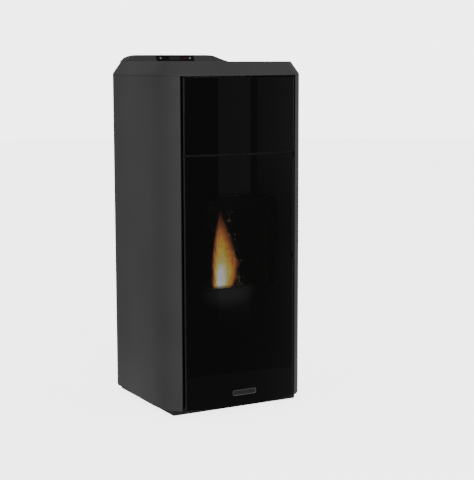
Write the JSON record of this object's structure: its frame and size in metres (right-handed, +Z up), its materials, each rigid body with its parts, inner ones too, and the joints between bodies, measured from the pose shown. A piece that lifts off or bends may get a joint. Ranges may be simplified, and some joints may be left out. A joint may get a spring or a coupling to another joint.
{
  "type": "pellet stove",
  "caption": "Free-standing pellet stove with a bowed glass front, hinged doors, ash drawer, hopper with lid, auger, fans, flue outlet and a sloping control panel.",
  "frame": {"origin": "centre of the bounding box's footprint, on the floor", "axes": "+Z up, -Y towards the glass front, +X to the right of a person who faces the front"},
  "size_m": [0.46, 0.485, 1.02],
  "materials": {
    "casing_paint": "satin anthracite",
    "plinth_paint": "satin dark grey",
    "smoked_glass": "polished, dark, see-through",
    "black_glass": "polished, black, opaque",
    "clear_glass": "clear heat-proof glass",
    "black_steel": "matt heat-proof black",
    "strip_metal": "dark brushed",
    "cast_iron": "rough grey black",
    "stainless": "brushed",
    "galvanised": "dull zinc",
    "refractory": "matt fire-proof plate",
    "rope": "woven glass-fibre rope",
    "black_plastic": "fine matt black",
    "white_mark": "white",
    "screen": "greenish grey display",
    "red_lens": "red",
    "board_green": "green circuit board"
  },
  "bodies": {
    "stove": {"left_side_panel": "casing_paint", "right_side_panel": "casing_paint", "rear_panel": "casing_paint", "top_cover": "casing_paint", "plinth": "plinth_paint", "upper_glass": "black_glass", "front_frame": "black_steel", "upper_glass_frame": "black_steel", "lower_hinge": "black_steel", "upper_hinge": "black_steel", "firebox_shell": "black_steel", "upper_strip_left": "strip_metal", "upper_strip_right": "strip_metal", "pot_seat": "cast_iron", "lid_hinge_pin": "stainless", "igniter": "stainless", "hopper_grid": "stainless", "base_plate": "galvanised", "hopper": "galvanised", "auger_tube": "galvanised", "pellet_chute": "galvanised", "smoke_fan_housing": "galvanised", "flue_outlet": "galvanised", "air_inlet_pipe": "galvanised", "room_fan_housing": "galvanised", "firebox_lining": "refractory", "baffle_plate": "refractory", "foot_front_left": "black_plastic", "foot_front_right": "black_plastic", "foot_rear_left": "black_plastic", "foot_rear_right": "black_plastic", "control_fascia": "black_plastic", "door_magnet": "black_plastic", "auger_gearmotor": "black_plastic", "smoke_fan_motor": "black_plastic", "room_fan_motor": "black_plastic", "mains_inlet": "black_plastic", "thermostat_cap": "black_plastic", "display_window": "screen", "indicator_lens": "red_lens", "control_board": "board_green"},
    "outer_door": {"door_frame": "black_steel", "door_glass": "smoked_glass", "door_strip_left": "strip_metal", "door_strip_right": "strip_metal", "door_pull": "stainless"},
    "inner_door": {"firebox_door": "cast_iron", "firebox_glass": "clear_glass", "firebox_door_seal": "rope", "firebox_handle": "stainless"},
    "drawer": {"ash_drawer": "galvanised"},
    "lid": {"hopper_lid": "casing_paint"},
    "pot": {"burn_pot": "cast_iron"},
    "button_left": {"left_button": "white_mark"},
    "button_right": {"right_button": "white_mark"},
    "screw": {"auger_screw": "stainless"},
    "smoke_impeller": {"smoke_fan_impeller": "stainless"},
    "room_wheel": {"room_fan_wheel": "galvanised"},
    "rocker": {"rocker_switch": "red_lens"}
  },
  "joints": [
    {"name": "outer_door_hinge", "type": "hinge", "parent": "stove", "child": "outer_door", "pos_m": [-0.172, -0.2075, 0.38], "axis": [0, 0, -1], "range_deg": [0, 90]},
    {"name": "inner_door_hinge", "type": "hinge", "parent": "stove", "child": "inner_door", "pos_m": [-0.138, -0.1751, 0.464], "axis": [0, 0, -1], "range_deg": [0, 90]},
    {"name": "drawer_slide", "type": "slide", "parent": "stove", "child": "drawer", "axis": [0, -1, 0], "range_m": [0, 0.157]},
    {"name": "lid_hinge", "type": "hinge", "parent": "stove", "child": "lid", "pos_m": [0, 0.1495, 0.9965], "axis": [-1, 0, 0], "range_deg": [0, 75]},
    {"name": "pot_lift", "type": "slide", "parent": "stove", "child": "pot", "axis": [0, 0, 1], "range_m": [0, 0.05]},
    {"name": "left_button_press", "type": "slide", "parent": "stove", "child": "button_left", "axis": [0, 0.8908, -0.4543], "range_m": [0, 0.001], "stiffness_N_per_m": 400, "springref_m": -0.0005},
    {"name": "right_button_press", "type": "slide", "parent": "stove", "child": "button_right", "axis": [0, 0.8908, -0.4543], "range_m": [0, 0.001], "stiffness_N_per_m": 400, "springref_m": -0.0005},
    {"name": "auger_spin", "type": "hinge", "parent": "stove", "child": "screw", "pos_m": [0, 0.1175, 0.5996], "axis": [0.7071, 0, 0.7071], "continuous": true},
    {"name": "smoke_fan_spin", "type": "hinge", "parent": "stove", "child": "smoke_impeller", "pos_m": [0.08, 0.0675, 0.2], "axis": [0, 1, 0], "continuous": true},
    {"name": "room_fan_spin", "type": "hinge", "parent": "stove", "child": "room_wheel", "pos_m": [0, 0.1025, 0.0593], "axis": [1, 0, 0], "continuous": true},
    {"name": "rocker_tilt", "type": "hinge", "parent": "stove", "child": "rocker", "pos_m": [-0.122, 0.2108, 0.094], "axis": [-1, 0, 0], "range_deg": [0, 20]}
  ],
  "couplings": [
    {"joint": "inner_door_hinge", "follows": "outer_door_hinge", "ratio": 1},
    {"joint": "drawer_slide", "follows": "outer_door_hinge", "m_per_rad": 0.1}
  ]
}
